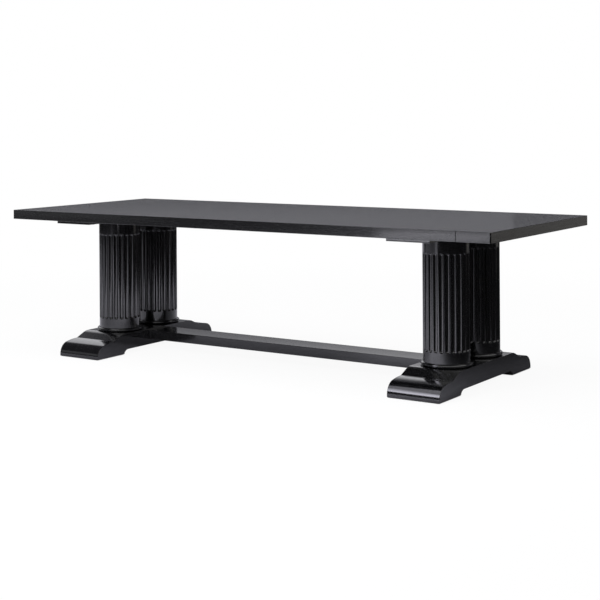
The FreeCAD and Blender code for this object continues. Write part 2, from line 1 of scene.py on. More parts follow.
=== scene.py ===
"""A black trestle dining table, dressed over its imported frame.

The pieces that show are modelled again with soft arrises and finished as stained, lacquered wood.
The hidden hardware keeps its solids and gets finishes of its own. Metres, in the frame's own axes.
"""
import logging
import math
from dataclasses import dataclass
from enum import Enum
from typing import Callable, Dict, List, Optional, Sequence, Tuple, Union

import bpy
from mathutils import Matrix, Vector


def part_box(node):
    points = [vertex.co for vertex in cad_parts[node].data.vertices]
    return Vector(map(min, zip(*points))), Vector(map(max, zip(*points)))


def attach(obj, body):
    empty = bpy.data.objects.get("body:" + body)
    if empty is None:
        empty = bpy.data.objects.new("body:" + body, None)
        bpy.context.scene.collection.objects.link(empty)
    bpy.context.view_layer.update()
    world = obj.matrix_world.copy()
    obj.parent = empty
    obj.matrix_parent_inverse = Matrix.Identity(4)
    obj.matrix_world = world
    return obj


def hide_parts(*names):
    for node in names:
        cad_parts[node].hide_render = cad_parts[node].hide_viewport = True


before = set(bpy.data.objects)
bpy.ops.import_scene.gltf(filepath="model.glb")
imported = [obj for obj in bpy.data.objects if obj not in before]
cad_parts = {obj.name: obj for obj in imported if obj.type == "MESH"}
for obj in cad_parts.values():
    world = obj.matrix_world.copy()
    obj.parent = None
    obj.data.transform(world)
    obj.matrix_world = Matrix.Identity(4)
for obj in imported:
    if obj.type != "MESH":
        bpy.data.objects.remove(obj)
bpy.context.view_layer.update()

LOG = logging.getLogger("dining_table")
BODY = "root"
SIDES = {"left": -1, "right": 1}
CORNERS = tuple(f"{side}_{end}" for side in SIDES for end in ("front", "rear"))
# Two lengths that differ by less than this are the same.
TINY = 1e-5
# An edge that climbs by less than this share of its length lies level.
LEVEL = 0.5
# Noise runs from 0 to 1 about this value.
NOISE_MIDDLE = 0.5

Colour = Tuple[float, float, float]
Place = Tuple[float, float, float]
Noise = Tuple[float, float, float]
Span = Tuple[float, float]
Box = Tuple[Vector, Vector]
Test = Callable[[Vector, Vector], bool]

WHITE: Colour = (1.0, 1.0, 1.0)
COOL_LIGHT: Colour = (0.925, 0.92, 1.0)


class Pick(Enum):
    """Kind of mesh element that is picked in edit mode."""

    VERTEX = "VERT"
    EDGE = "EDGE"
    FACE = "FACE"


class Grain(Enum):
    """Direction that the fibres of a board run in."""

    ALONG_TABLE = (1, 0, 0)
    ACROSS_TABLE = (0, 1, 0)
    UPRIGHT = (0, 0, 1)


def start_fresh() -> None:
    """Leave edit mode and deselect everything, so that an operator meets only what it should."""
    if bpy.context.object and bpy.context.object.mode != "OBJECT":
        bpy.ops.object.mode_set(mode="OBJECT")
    bpy.ops.object.select_all(action="DESELECT")


class Workpiece:
    """One piece on the bench, shaped in edit mode with the modelling operators."""

    def __init__(self, name: str) -> None:
        """Take up the object that an operator has just added.

        Args:
            name: name of the finished piece.
        """
        self.thing = bpy.context.object
        self.thing.name = name
        self.thing.data.name = name

    @classmethod
    def block(cls, name: str, low: Vector, high: Vector) -> "Workpiece":
        """Start from a rectangular block.

        Args:
            name: name of the piece.
            low: its lowest corner.
            high: its highest corner.

        Returns:
            The block on the bench.
        """
        start_fresh()
        bpy.ops.mesh.primitive_cube_add(size=1, location=(low + high) / 2, scale=high - low)
        return cls(name).settle()

    @classmethod
    def turned(cls, name: str, radius: float, foot: Vector, height: float, sides: int) -> "Workpiece":
        """Start from an upright round blank.

        Args:
            name: name of the piece.
            radius: radius of the blank.
            foot: middle of its lower face.
            height: its height.
            sides: number of flats that stand for the round.

        Returns:
            The blank on the bench.
        """
        start_fresh()
        bpy.ops.mesh.primitive_cylinder_add(vertices=sides, radius=radius, depth=height,
                                            location=foot + Vector((0, 0, height / 2)))
        return cls(name).settle()

    @classmethod
    def copy_of(cls, other: "Workpiece", name: str, move: Vector) -> "Workpiece":
        """Copy a finished piece, with a mesh of its own, to another place.

        Args:
            other: the piece to copy.
            name: name of the copy.
            move: from the first piece to the copy.

        Returns:
            The copy on the bench.
        """
        other.hold()
        bpy.ops.object.duplicate(linked=False)
        bpy.ops.transform.translate(value=move)
        return cls(name).settle()

    def hold(self) -> "Workpiece":
        """Make this the only selected and active object.

        Returns:
            This piece.
        """
        start_fresh()
        self.thing.select_set(True)
        bpy.context.view_layer.objects.active = self.thing
        return self

    def settle(self) -> "Workpiece":
        """Put the object's place, turn and scale into its mesh.

        Returns:
            This piece.
        """
        self.hold()
        bpy.ops.object.transform_apply(location=True, rotation=True, scale=True)
        return self

    def pick(self, kind: Pick, test: Test) -> "Workpiece":
        """Select elements by their place and heading and stay in edit mode.

        Args:
            kind: vertices, edges or faces.
            test: says of a middle point and a heading, which is a normal or an edge's direction,
                whether the element is picked.

        Returns:
            This piece.
        """
        self.hold()
        bpy.ops.object.mode_set(mode="EDIT")
        bpy.ops.mesh.select_mode(type=kind.value)
        bpy.ops.mesh.select_all(action="DESELECT")
        bpy.ops.object.mode_set(mode="OBJECT")
        mesh = self.thing.data
        if kind is Pick.VERTEX:
            for vertex in mesh.vertices:
                vertex.select = test(vertex.co, vertex.normal)
        elif kind is Pick.EDGE:
            for edge in mesh.edges:
                first, last = (mesh.vertices[index].co for index in edge.vertices)
                edge.select = test((first + last) / 2, (last - first).normalized())
        else:
            for face in mesh.polygons:
                face.select = test(face.center, face.normal)
        bpy.ops.object.mode_set(mode="EDIT")
        return self

    def extrude(self, move: Vector) -> "Workpiece":
        """Draw the picked region out by a move."""
        bpy.ops.mesh.extrude_region_move(TRANSFORM_OT_translate={"value": move})
        return self

    def stretch(self, scale: Sequence[float], about: Vector) -> "Workpiece":
        """Scale what is picked about a point."""
        bpy.ops.transform.resize(value=scale, center_override=about)
        return self

    def bevel(self, width: float, segments: int) -> "Workpiece":
        """Round the picked edges."""
        bpy.ops.mesh.bevel(offset=width, offset_type="OFFSET", segments=segments, profile=0.5,
                           affect="EDGES", clamp_overlap=True)
        return self

    def soften(self, width: float, segments: int) -> "Workpiece":
        """Round every edge."""
        return self.pick(Pick.EDGE, lambda place, heading: True).bevel(width, segments)

    def tenon(self, heading: Vector, low: Vector, high: Vector) -> "Workpiece":
        """Draw a tongue out of an end face, or a socket into it.

        Args:
            heading: outward normal of the face.
            low: lowest corner of the tongue or socket.
            high: its highest corner.

        Returns:
            This piece.
        """
        self.pick(Pick.FACE, lambda place, normal: normal.dot(heading) > 1 - TINY)
        shown = [face for face in self.thing.data.polygons if face.normal.dot(heading) > 1 - TINY]
        corners = [self.thing.data.vertices[index].co for face in shown for index in face.vertices]
        axis = max(range(3), key=lambda index: abs(heading[index]))
        wanted = high - low
        scale = [1.0, 1.0, 1.0]
        for index in range(3):
            if index != axis:
                places = [corner[index] for corner in corners]
                scale[index] = wanted[index] / (max(places) - min(places))
        middle = (low + high) / 2
        level = corners[0][axis]
        far = max((low[axis], high[axis]), key=lambda value: abs(value - level))
        about = middle.copy()
        about[axis] = level
        reach = Vector((0, 0, 0))
        reach[axis] = far - level
        return self.extrude(Vector((0, 0, 0))).stretch(scale, about).extrude(reach)

    def end_tenons(self, shoulder: float, level: float, half: Vector) -> "Workpiece":
        """Draw a tenon out of both ends of a piece that lies along the table.

        Args:
            shoulder: how far the shoulders lie from the table's middle.
            level: height of the tenons' middle.
            half: half of the length from tip to tip, of the width and of the thickness.

        Returns:
            This piece.
        """
        for side in SIDES.values():
            near, far = sorted((side * shoulder, side * half.x))
            self.tenon(Vector((side, 0, 0)), Vector((near, -half.y, level - half.z)),
                       Vector((far, half.y, level + half.z)))
        return self

    def modify(self, kind: str, **settings: object) -> "Workpiece":
        """Add a modifier and apply it.

        Args:
            kind: the modifier's type.
            settings: its properties.

        Returns:
            This piece.
        """
        self.hold()
        bpy.ops.object.modifier_add(type=kind)
        modifier = self.thing.modifiers[-1]
        for name, value in settings.items():
            setattr(modifier, name, value)
        bpy.ops.object.modifier_apply(modifier=modifier.name)
        return self

    def carve(self, cutter: "Workpiece") -> "Workpiece":
        """Take another piece's form out of this one and throw that piece away.

        Args:
            cutter: the other piece.

        Returns:
            This piece.
        """
        self.modify("BOOLEAN", operation="DIFFERENCE", solver="EXACT", object=cutter.thing)
        cutter.hold()
        bpy.ops.object.delete()
        return self.hold()

    def bore(self, solids: Sequence[Box], wider: float, deeper: float, sides: int = 48) -> "Workpiece":
        """Bore an upright round hole about each of some small round solids.

        Args:
            solids: boxes of the solids.
            wider: room left around a solid.
            deeper: how far a hole reaches below its solid, so that it breaks the surface.
            sides: flats around a hole.

        Returns:
            This piece.
        """
        cutters = []
        for low, high in solids:
            middle = (low + high) / 2
            foot = Vector((middle.x, middle.y, low.z - deeper))
            radius = (high.x - low.x) / 2 + wider
            cutters.append(Workpiece.turned("cutter", radius, foot, high.z - foot.z, sides))
        return self.carve(cutters[0].join(cutters[1:]))

    def join(self, others: Sequence["Workpiece"]) -> "Workpiece":
        """Make other pieces loose parts of this one.

        Args:
            others: the other pieces.

        Returns:
            This piece.
        """
        self.hold()
        for other in others:
            other.thing.select_set(True)
        bpy.ops.object.join()
        return self

    def mend(self) -> "Workpiece":
        """Merge doubled points and turn every face outwards.

        Returns:
            This piece.
        """
        self.hold()
        bpy.ops.object.mode_set(mode="EDIT")
        bpy.ops.mesh.select_all(action="SELECT")
        bpy.ops.mesh.remove_doubles(threshold=TINY)
        bpy.ops.mesh.normals_make_consistent(inside=False)
        return self.hold()

    def done(self, finish: "Finish", slot: str, *nodes: str, angle: float = 35.0) -> None:
        """Shade, dress and seat the finished piece.

        Args:
            finish: the finish that covers it.
            slot: the record's material slot; not used.
            nodes: the solids that it stands for.
            angle: edges sharper than this many degrees stay crisp.
        """
        self.hold()
        bpy.ops.object.shade_smooth_by_angle(angle=math.radians(angle))
        self.modify("WEIGHTED_NORMAL", keep_sharp=True)
        self.thing.data.materials.clear()
        self.thing.data.materials.append(finish.material())
        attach(self.thing, BODY)
        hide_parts(*nodes)
        faces = len(self.thing.data.polygons)
        LOG.info("%s: %d faces, for %s", self.thing.name, faces, ", ".join(nodes))


class Signal:
    """A number on its way through a material: arithmetic on it adds Math nodes."""

    def __init__(self, nodes: "NodeBench", socket: bpy.types.NodeSocket) -> None:
        """Wrap an output socket."""
        self.nodes = nodes
        self.socket = socket

    def _math(self, operation: str, first: "Input", second: "Input") -> "Signal":
        """Add one Math node."""
        return self.nodes.add("ShaderNodeMath", {"operation": operation}, {0: first, 1: second})

    def __add__(self, other: "Input") -> "Signal":
        """Sum."""
        return self._math("ADD", self, other)

    def __radd__(self, other: "Input") -> "Signal":
        """Sum, reflected."""
        return self._math("ADD", other, self)

    def __sub__(self, other: "Input") -> "Signal":
        """Difference."""
        return self._math("SUBTRACT", self, other)

    def __rsub__(self, other: "Input") -> "Signal":
        """Difference, reflected."""
        return self._math("SUBTRACT", other, self)

    def __mul__(self, other: "Input") -> "Signal":
        """Product."""
        return self._math("MULTIPLY", self, other)

    def __rmul__(self, other: "Input") -> "Signal":
        """Product, reflected."""
        return self._math("MULTIPLY", other, self)

    def between(self, low: float, high: float) -> "Signal":
        """Rise smoothly from 0 at one value to 1 at another."""
        return self.nodes.add("ShaderNodeMapRange", {"interpolation_type": "SMOOTHSTEP"},
                              {"Value": self, "From Min": low, "From Max": high})


Input = Union[float, Sequence[float], Signal]


class NodeBench:
    """The nodes of one material or world."""

    def __init__(self, owner: Union[bpy.types.Material, bpy.types.World]) -> None:
        """Start with an empty tree.

        Args:
            owner: the material or world.
        """
        owner.use_nodes = True
        self.tree = owner.node_tree
        self.tree.nodes.clear()
        self.ending = "World" if isinstance(owner, bpy.types.World) else "Material"

    def add(self, kind: str, settings: Optional[Dict[str, object]] = None,
            inputs: Optional[Dict[Union[int, str], Input]] = None,
            output: Union[int, str] = 0) -> Signal:
        """Add one node.

        Args:
            kind: the node's type.
            settings: its properties, set before its sockets.
            inputs: values or links of its sockets.
            output: the socket that carries the result.

        Returns:
            The node's output.
        """
        node = self.tree.nodes.new(kind)
        for name, value in (settings or {}).items():
            setattr(node, name, value)
        for name, value in (inputs or {}).items():
            if isinstance(value, Signal):
                self.tree.links.new(value.socket, node.inputs[name])
            else:
                node.inputs[name].default_value = value
        return Signal(self, node.outputs[output] if node.outputs else None)

    def spot(self) -> Signal:
        """Where a point lies on its piece."""
        return self.add("ShaderNodeTexCoord", output="Object")

    def reach(self, place: Signal, heading: Place) -> Signal:
        """How far a place lies along a heading."""
        return self.add("ShaderNodeVectorMath", {"operation": "DOT_PRODUCT"},
                        {0: place, 1: heading}, "Value")

    def noise(self, place: Signal, scale: float, detail: float, rough: float) -> Signal:
        """Fractal noise.

        Args:
            place: where to read it.
            scale: repeats per unit of place.
            detail: octaves.
            rough: share that each octave keeps.

        Returns:
            The noise.
        """
        return self.add("ShaderNodeTexNoise", {"noise_dimensions": "3D"},
                        {"Vector": place, "Scale": scale, "Detail": detail, "Roughness": rough})

    def blend(self, factor: Input, first: Input, second: Input) -> Signal:
        """Mix two colours.

        Args:
            factor: 0 for the first, 1 for the second.
            first: a colour.
            second: a colour.

        Returns:
            The mixed colour.
        """
        return self.add("ShaderNodeMix", {"data_type": "RGBA"},
                        {"Factor": factor, 6: opaque(first), 7: opaque(second)}, 2)

    def bump(self, height: Signal, strength: float, depth: float) -> Signal:
        """Tilt the surface by a height."""
        return self.add("ShaderNodeBump", {},
                        {"Strength": strength, "Distance": depth, "Height": height})

    def cross(self, factor: Signal, first: Signal, second: Signal) -> Signal:
        """Mix two shaders, from the first at 0 to the second at 1."""
        return self.add("ShaderNodeMixShader", {}, {0: factor, 1: first, 2: second})

    def surface(self, shader: Signal) -> None:
        """Send a shader to the output."""
        self.add(f"ShaderNodeOutput{self.ending}", {}, {"Surface": shader})

    def principled(self, inputs: Dict[str, Input]) -> None:
        """Send a Principled shader to the output."""
        self.surface(self.add("ShaderNodeBsdfPrincipled", {}, inputs))


def opaque(colour: Input) -> Input:
    """Give a plain colour its alpha and leave a linked one alone."""
    return colour if isinstance(colour, Signal) else (*colour, 1.0)


@dataclass(frozen=True)
class Finish:
    """What covers a piece. Each kind of finish builds its own nodes."""

    name: str

    def material(self) -> bpy.types.Material:
        """Find the material, or make it the first time.

        Returns:
            The material of this finish.
        """
        found = bpy.data.materials.get(self.name)
        if found is None:
            found = bpy.data.materials.new(self.name)
            self.build(NodeBench(found))
        return found

    def build(self, nodes: NodeBench) -> None:
        """Add the nodes of the finish."""
        raise NotImplementedError


@dataclass(frozen=True)
class BlackWood(Finish):
    """Wood under black stain and lacquer, with its fibres and pores still to be felt."""

    grain: Grain
    seed: float = 0.0
    deep: Colour = (0.0012, 0.0012, 0.0013)
    pale: Colour = (0.0045, 0.0045, 0.0049)
    roughness: float = 0.13
    fibre_sheen: float = 0.08
    cloud_sheen: float = 0.06
    pore_sheen: float = 0.12
    lacquer: float = 0.9
    lacquer_roughness: float = 0.08
    fibre_lacquer: float = 0.9
    pore_lacquer: float = 0.35
    pore_depth: float = 0.00002
    bump_strength: float = 0.5
    fibre_height: float = 0.35
    figure_height: float = 0.25
    along: float = 1.6
    across: float = 42.0
    figure_noise: Noise = (0.55, 3.0, 0.55)
    fibre_noise: Noise = (4.0, 5.0, 0.62)
    pore_noise: Noise = (17.0, 2.0, 0.5)
    cloud_noise: Noise = (3.1, 2.0, 0.5)
    figure_edge: Span = (0.3, 0.7)
    fibre_edge: Span = (0.32, 0.7)
    pore_edge: Span = (0.58, 0.70)
    figure_share: float = 0.5
    pore_shade: float = 0.7

    def build(self, nodes: NodeBench) -> None:
        """Add the nodes of the finish.

        Args:
            nodes: the material's nodes.
        """
        scale = [self.along if part else self.across for part in self.grain.value]
        spot = nodes.spot()
        fibres_place = nodes.add("ShaderNodeMapping", {"vector_type": "TEXTURE"}, {
            "Vector": spot, "Location": (self.seed, self.seed, self.seed),
            "Scale": tuple(1 / part for part in scale)})
        figure = nodes.noise(fibres_place, *self.figure_noise)
        fibres = nodes.noise(fibres_place, *self.fibre_noise)
        pores = nodes.noise(fibres_place, *self.pore_noise).between(*self.pore_edge)
        cloud = nodes.noise(spot, *self.cloud_noise)
        swing = fibres - NOISE_MIDDLE
        tone = figure.between(*self.figure_edge) * self.figure_share
        tone = tone + fibres.between(*self.fibre_edge) * (1 - self.figure_share)
        rough = self.roughness + swing * self.fibre_sheen
        rough = rough + (cloud - NOISE_MIDDLE) * self.cloud_sheen + pores * self.pore_sheen
        height = fibres * self.fibre_height + figure * self.figure_height - pores
        nodes.principled({
            "Base Color": nodes.blend(tone * (1 - pores * self.pore_shade), self.deep, self.pale),
            "Roughness": rough,
            "Coat Weight": self.lacquer + swing * self.fibre_lacquer - pores * self.pore_lacquer,
            "Coat Roughness": self.lacquer_roughness,
            "Normal": nodes.bump(height, self.bump_strength, self.pore_depth)})


@dataclass(frozen=True)
class RawWood(Finish):
    """Plain wood of pegs, dowels and plugs."""

    pale: Colour = (0.46, 0.32, 0.19)
    dark: Colour = (0.30, 0.19, 0.10)
    fibre_scale: Place = (260.0, 260.0, 14.0)
    fibre_noise: Noise = (1.0, 5.0, 0.6)
    fibre_edge: Span = (0.3, 0.7)
    fibre_depth: float = 0.0002
    bump_strength: float = 0.4
    roughness: float = 0.55
    fibre_sheen: float = 0.2

    def build(self, nodes: NodeBench) -> None:
        """Add the nodes of the finish.

        Args:
            nodes: the material's nodes.
        """
        place = nodes.add("ShaderNodeMapping", {}, {"Vector": nodes.spot(), "Scale": self.fibre_scale})
        fibres = nodes.noise(place, *self.fibre_noise)
        nodes.principled({
            "Base Color": nodes.blend(fibres.between(*self.fibre_edge), self.dark, self.pale),
            "Roughness": fibres * self.fibre_sheen + self.roughness,
            "Normal": nodes.bump(fibres, self.bump_strength, self.fibre_depth)})


@dataclass(frozen=True)
class PlatedMetal(Finish):
    """Drawn or turned metal with a thin plating."""

    bright: Colour
    dull: Colour
    mark_scale: Place = (90.0, 90.0, 900.0)
    mark_noise: Noise = (1.0, 3.0, 0.5)
    cloud_noise: Noise = (160.0, 2.0, 0.5)
    cloud_edge: Span = (0.35, 0.65)
    roughness: float = 0.22
    mark_sheen: float = 0.25

    def build(self, nodes: NodeBench) -> None:
        """Add the nodes of the finish.

        Args:
            nodes: the material's nodes.
        """
        spot = nodes.spot()
        place = nodes.add("ShaderNodeMapping", {}, {"Vector": spot, "Scale": self.mark_scale})
        marks = nodes.noise(place, *self.mark_noise)
        cloud = nodes.noise(spot, *self.cloud_noise)
        nodes.principled({
            "Base Color": nodes.blend(cloud.between(*self.cloud_edge), self.dull, self.bright),
            "Metallic": 1.0,
            "Roughness": marks * self.mark_sheen + self.roughness})


@dataclass(frozen=True)
class GlideNylon(Finish):
    """Moulded black nylon, fine-grained and matt."""

    colour: Colour = (0.018, 0.018, 0.019)
    scuffed: Colour = (0.055, 0.053, 0.05)
    stipple_noise: Noise = (1800.0, 1.0, 0.5)
    scuff_noise: Noise = (220.0, 4.0, 0.5)
    scuff_edge: Span = (0.55, 0.75)
    stipple_depth: float = 0.0001
    bump_strength: float = 0.3
    roughness: float = 0.5
    scuff_sheen: float = 0.15

    def build(self, nodes: NodeBench) -> None:
        """Add the nodes of the finish.

        Args:
            nodes: the material's nodes.
        """
        spot = nodes.spot()
        stipple = nodes.noise(spot, *self.stipple_noise)
        scuffs = nodes.noise(spot, *self.scuff_noise).between(*self.scuff_edge)
        nodes.principled({
            "Base Color": nodes.blend(scuffs, self.colour, self.scuffed),
            "Roughness": scuffs * self.scuff_sheen + self.roughness,
            "Normal": nodes.bump(stipple, self.bump_strength, self.stipple_depth)})


class Ray(Enum):
    """Kinds of ray that the floor and the background tell apart."""

    CAMERA = "Is Camera Ray"
    TRANSMISSION = "Is Transmission Ray"
    GLOSSY = "Is Glossy Ray"


def ray(nodes: NodeBench, kind: Ray) -> Signal:
    """1 for rays of a kind and 0 for the rest."""
    return nodes.add("ShaderNodeLightPath", output=kind.value)


@dataclass(frozen=True)
class StudioFloor(Finish):
    """Pale studio floor, white to the camera but for the table's own soft shadow.

    Glossy rays see a painted reflection instead: the floor painted dim, with a painted bright strip in
    front of the table that ends on the right.
    """

    colour: Colour = (0.92, 0.92, 0.92)
    # Painted reflection colours: glossy rays see the floor painted between these two.
    dim: Colour = (0.03, 0.03, 0.032)
    bright: Colour = COOL_LIGHT
    shade_heading: Place = (1.0, 0.5, 0.0)
    shade_edge: Span = (0.5, 2.0)
    strip_heading: Place = (-0.36, -0.93, 0.0)
    strip_start: Span = (-0.05, 0.25)
    strip_across: Place = (0.93, -0.36, 0.0)
    strip_middle: float = 0.9
    strip_edge: Span = (0.3, 0.7)
    strip_right: Span = (0.45, 1.2)
    beside_strip: float = 0.45
    near_table: float = 0.15
    near_edge: Span = (1.3, 2.0)
    far_edge: Span = (6.2, 8.0)
    lift: float = 0.93
    fade: Span = (1.8, 5.0)
    contact: float = 0.02
    contact_edge: Span = (0.1, 0.5)

    def build(self, nodes: NodeBench) -> None:
        """Add the nodes of the finish.

        Args:
            nodes: the material's nodes.
        """
        spot = nodes.spot()
        away = nodes.add("ShaderNodeVectorMath", {"operation": "LENGTH"}, {0: spot}, "Value")
        aside = nodes.reach(spot, self.shade_heading)
        along = nodes.reach(spot, self.strip_heading)
        offset = nodes.reach(spot, self.strip_across) - self.strip_middle
        strip = 1 - (offset * offset).between(self.strip_edge[0] ** 2, self.strip_edge[1] ** 2)
        strip = strip * along.between(*self.strip_start)
        # Painted shade in the reflection: darker to the right, to the rear, far away and beside the
        # bright strip.
        painted_reflection_pool = (1 - aside.between(*self.shade_edge)) * (1 - away.between(*self.far_edge))
        painted_reflection_pool = painted_reflection_pool * (1 - offset.between(*self.strip_right))
        beside = self.beside_strip + self.near_table * (1 - along.between(*self.near_edge))
        painted_reflection_pool = painted_reflection_pool * (beside + (1 - beside) * strip)
        # Painted reflection: the floor's colour as glossy rays see it.
        mirrored = nodes.blend(painted_reflection_pool, self.dim, self.bright)
        colour = nodes.blend(ray(nodes, Ray.GLOSSY), self.colour, mirrored)
        plain = nodes.add("ShaderNodeBsdfDiffuse", {}, {"Color": colour})
        white = nodes.add("ShaderNodeEmission", {}, {"Color": opaque(WHITE), "Strength": 1.0})
        seen = ray(nodes, Ray.CAMERA) + ray(nodes, Ray.TRANSMISSION)
        # Where ambient occlusion finds the floor closed in, the white is taken away and the real
        # contact shade shows.
        open_floor = nodes.add("ShaderNodeAmbientOcclusion", {}, {"Distance": self.contact}, "AO")
        share = seen * (self.lift + away.between(*self.fade) * (1 - self.lift))
        share = share * open_floor.between(*self.contact_edge)
        nodes.surface(nodes.cross(share, plain, white))


TOP_FINISH = BlackWood("black_top_wood", Grain.ALONG_TABLE, roughness=0.26, pore_depth=0.00005,
                       lacquer_roughness=0.12)
END_FINISH = BlackWood("black_end_board_wood", Grain.ACROSS_TABLE, seed=3.7, roughness=0.26,
                       pore_depth=0.00003, lacquer_roughness=0.12)
SLED_FINISH = BlackWood("black_sled_wood", Grain.ACROSS_TABLE, seed=8.2)
SHAFT_FINISH = BlackWood("black_shaft_wood", Grain.UPRIGHT, seed=5.1)
RAIL_FINISH = BlackWood("black_rail_wood", Grain.ALONG_TABLE, seed=1.9)
RAW_FINISH = RawWood("raw_wood")
STEEL_FINISH = PlatedMetal("zinc_plate", (0.63, 0.64, 0.66), (0.42, 0.43, 0.46))
BRASS_FINISH = PlatedMetal("plain_brass", (0.78, 0.58, 0.26), (0.52, 0.37, 0.15))
GLIDE_FINISH = GlideNylon("glide_nylon")
FLOOR_FINISH = StudioFloor("studio_floor")


@dataclass
class TableTop:
    """The framed top: a long panel between two cross boards."""

    arris: float = 0.0018
    arris_steps: int = 3
    corner: float = 0.005
    corner_steps: int = 6
    tongue_setback: float = 0.07
    tongue_thickness: float = 0.016
    joint_clearance: float = 0.0005

    def build(self) -> None:
        """Make the end boards with their grooves and the panel with its tongues."""
        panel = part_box("top_panel")
        for end, side in SIDES.items():
            self.end_board(end, side, panel)
        self.panel(*panel)

    def end_board(self, end: str, side: int, panel: Box) -> None:
        """Make an end board with rounded outer corners, a groove for the tongue and peg holes.

        Args:
            end: left or right.
            side: -1 at the left end of the table and 1 at the right.
            panel: lowest and highest corner of the panel's solid, tongues included.
        """
        low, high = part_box(f"end_board_{end}")
        outer, inner, tip = (low.x, high.x, panel[0].x) if side < 0 else (high.x, low.x, panel[1].x)
        plank = Workpiece.block(f"top_end_board_{end}", low, high)
        plank.pick(Pick.EDGE, lambda place, heading: (
            abs(heading.z) > 1 - TINY and abs(place.x - outer) < TINY))
        plank.bevel(self.corner, self.corner_steps)
        plank.pick(Pick.EDGE, lambda place, heading: (
            abs(heading.z) < TINY or abs(place.x - outer) > self.corner + TINY))
        plank.bevel(self.arris, self.arris_steps)
        near, far = sorted((inner, tip + side * self.joint_clearance))
        level = (low.z + high.z) / 2
        half = self.tongue_thickness / 2 + self.joint_clearance
        reach = high.y - self.tongue_setback + self.joint_clearance
        plank.tenon(Vector((-side, 0, 0)), Vector((near, -reach, level - half)),
                    Vector((far, reach, level + half)))
        plank.bore(solids_within(low, high, "end_board_pegs"), 0.0, self.joint_clearance)
        plank.mend().done(END_FINISH, "top_wood", f"end_board_{end}")

    def panel(self, low: Vector, high: Vector) -> None:
        """Make the long field with a tongue at each end.

        Args:
            low: lowest corner of the solid, tongues included.
            high: its highest corner.
        """
        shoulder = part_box("end_board_right")[0].x
        plank = Workpiece.block("top_field", Vector((-shoulder, low.y, low.z)),
                                Vector((shoulder, high.y, high.z)))
        plank.soften(self.arris, self.arris_steps)
        tongues = Vector((high.x, high.y - self.tongue_setback, self.tongue_thickness / 2))
        plank.end_tenons(shoulder, (low.z + high.z) / 2, tongues)
        plank.mend().done(TOP_FINISH, "top_wood", "top_panel")


def loose_boxes(thing: bpy.types.Object) -> List[Box]:
    """Find the box of each separate solid in a node.

    Args:
        thing: the node's object.

    Returns:
        Lowest and highest corner of each solid.
    """
    mesh = thing.data
    parent = {}

    def key(index: int) -> Tuple[int, ...]:
        """Name a point by its place, so that doubled points count once."""
        return tuple(round(part / TINY) for part in mesh.vertices[index].co)

    def top(item: Tuple[int, ...]) -> Tuple[int, ...]:
        """Follow a point to the one that stands for its solid."""
        while parent.setdefault(item, item) != item:
            item = parent[item]
        return item

    for face in mesh.polygons:
        first = key(face.vertices[0])
        for index in face.vertices[1:]:
            parent[top(key(index))] = top(first)
    solids: Dict[Tuple[int, ...], List[Vector]] = {}
    for vertex in mesh.vertices:
        solids.setdefault(top(key(vertex.index)), []).append(vertex.co)
    return [(Vector(map(min, zip(*points))), Vector(map(max, zip(*points))))
            for points in solids.values()]


def solids_within(low: Vector, high: Vector, *names: str) -> List[Box]:
    """Find the solids of some nodes that lie within a piece's reach along the table.

    Args:
        low: lowest corner of the piece.
        high: its highest corner.
        names: the nodes.

    Returns:
        Lowest and highest corner of each solid.
    """
    boxes = [box for name in names for box in loose_boxes(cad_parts[name])]
    return [box for box in boxes if low.x < box[0].x and box[1].x < high.x]


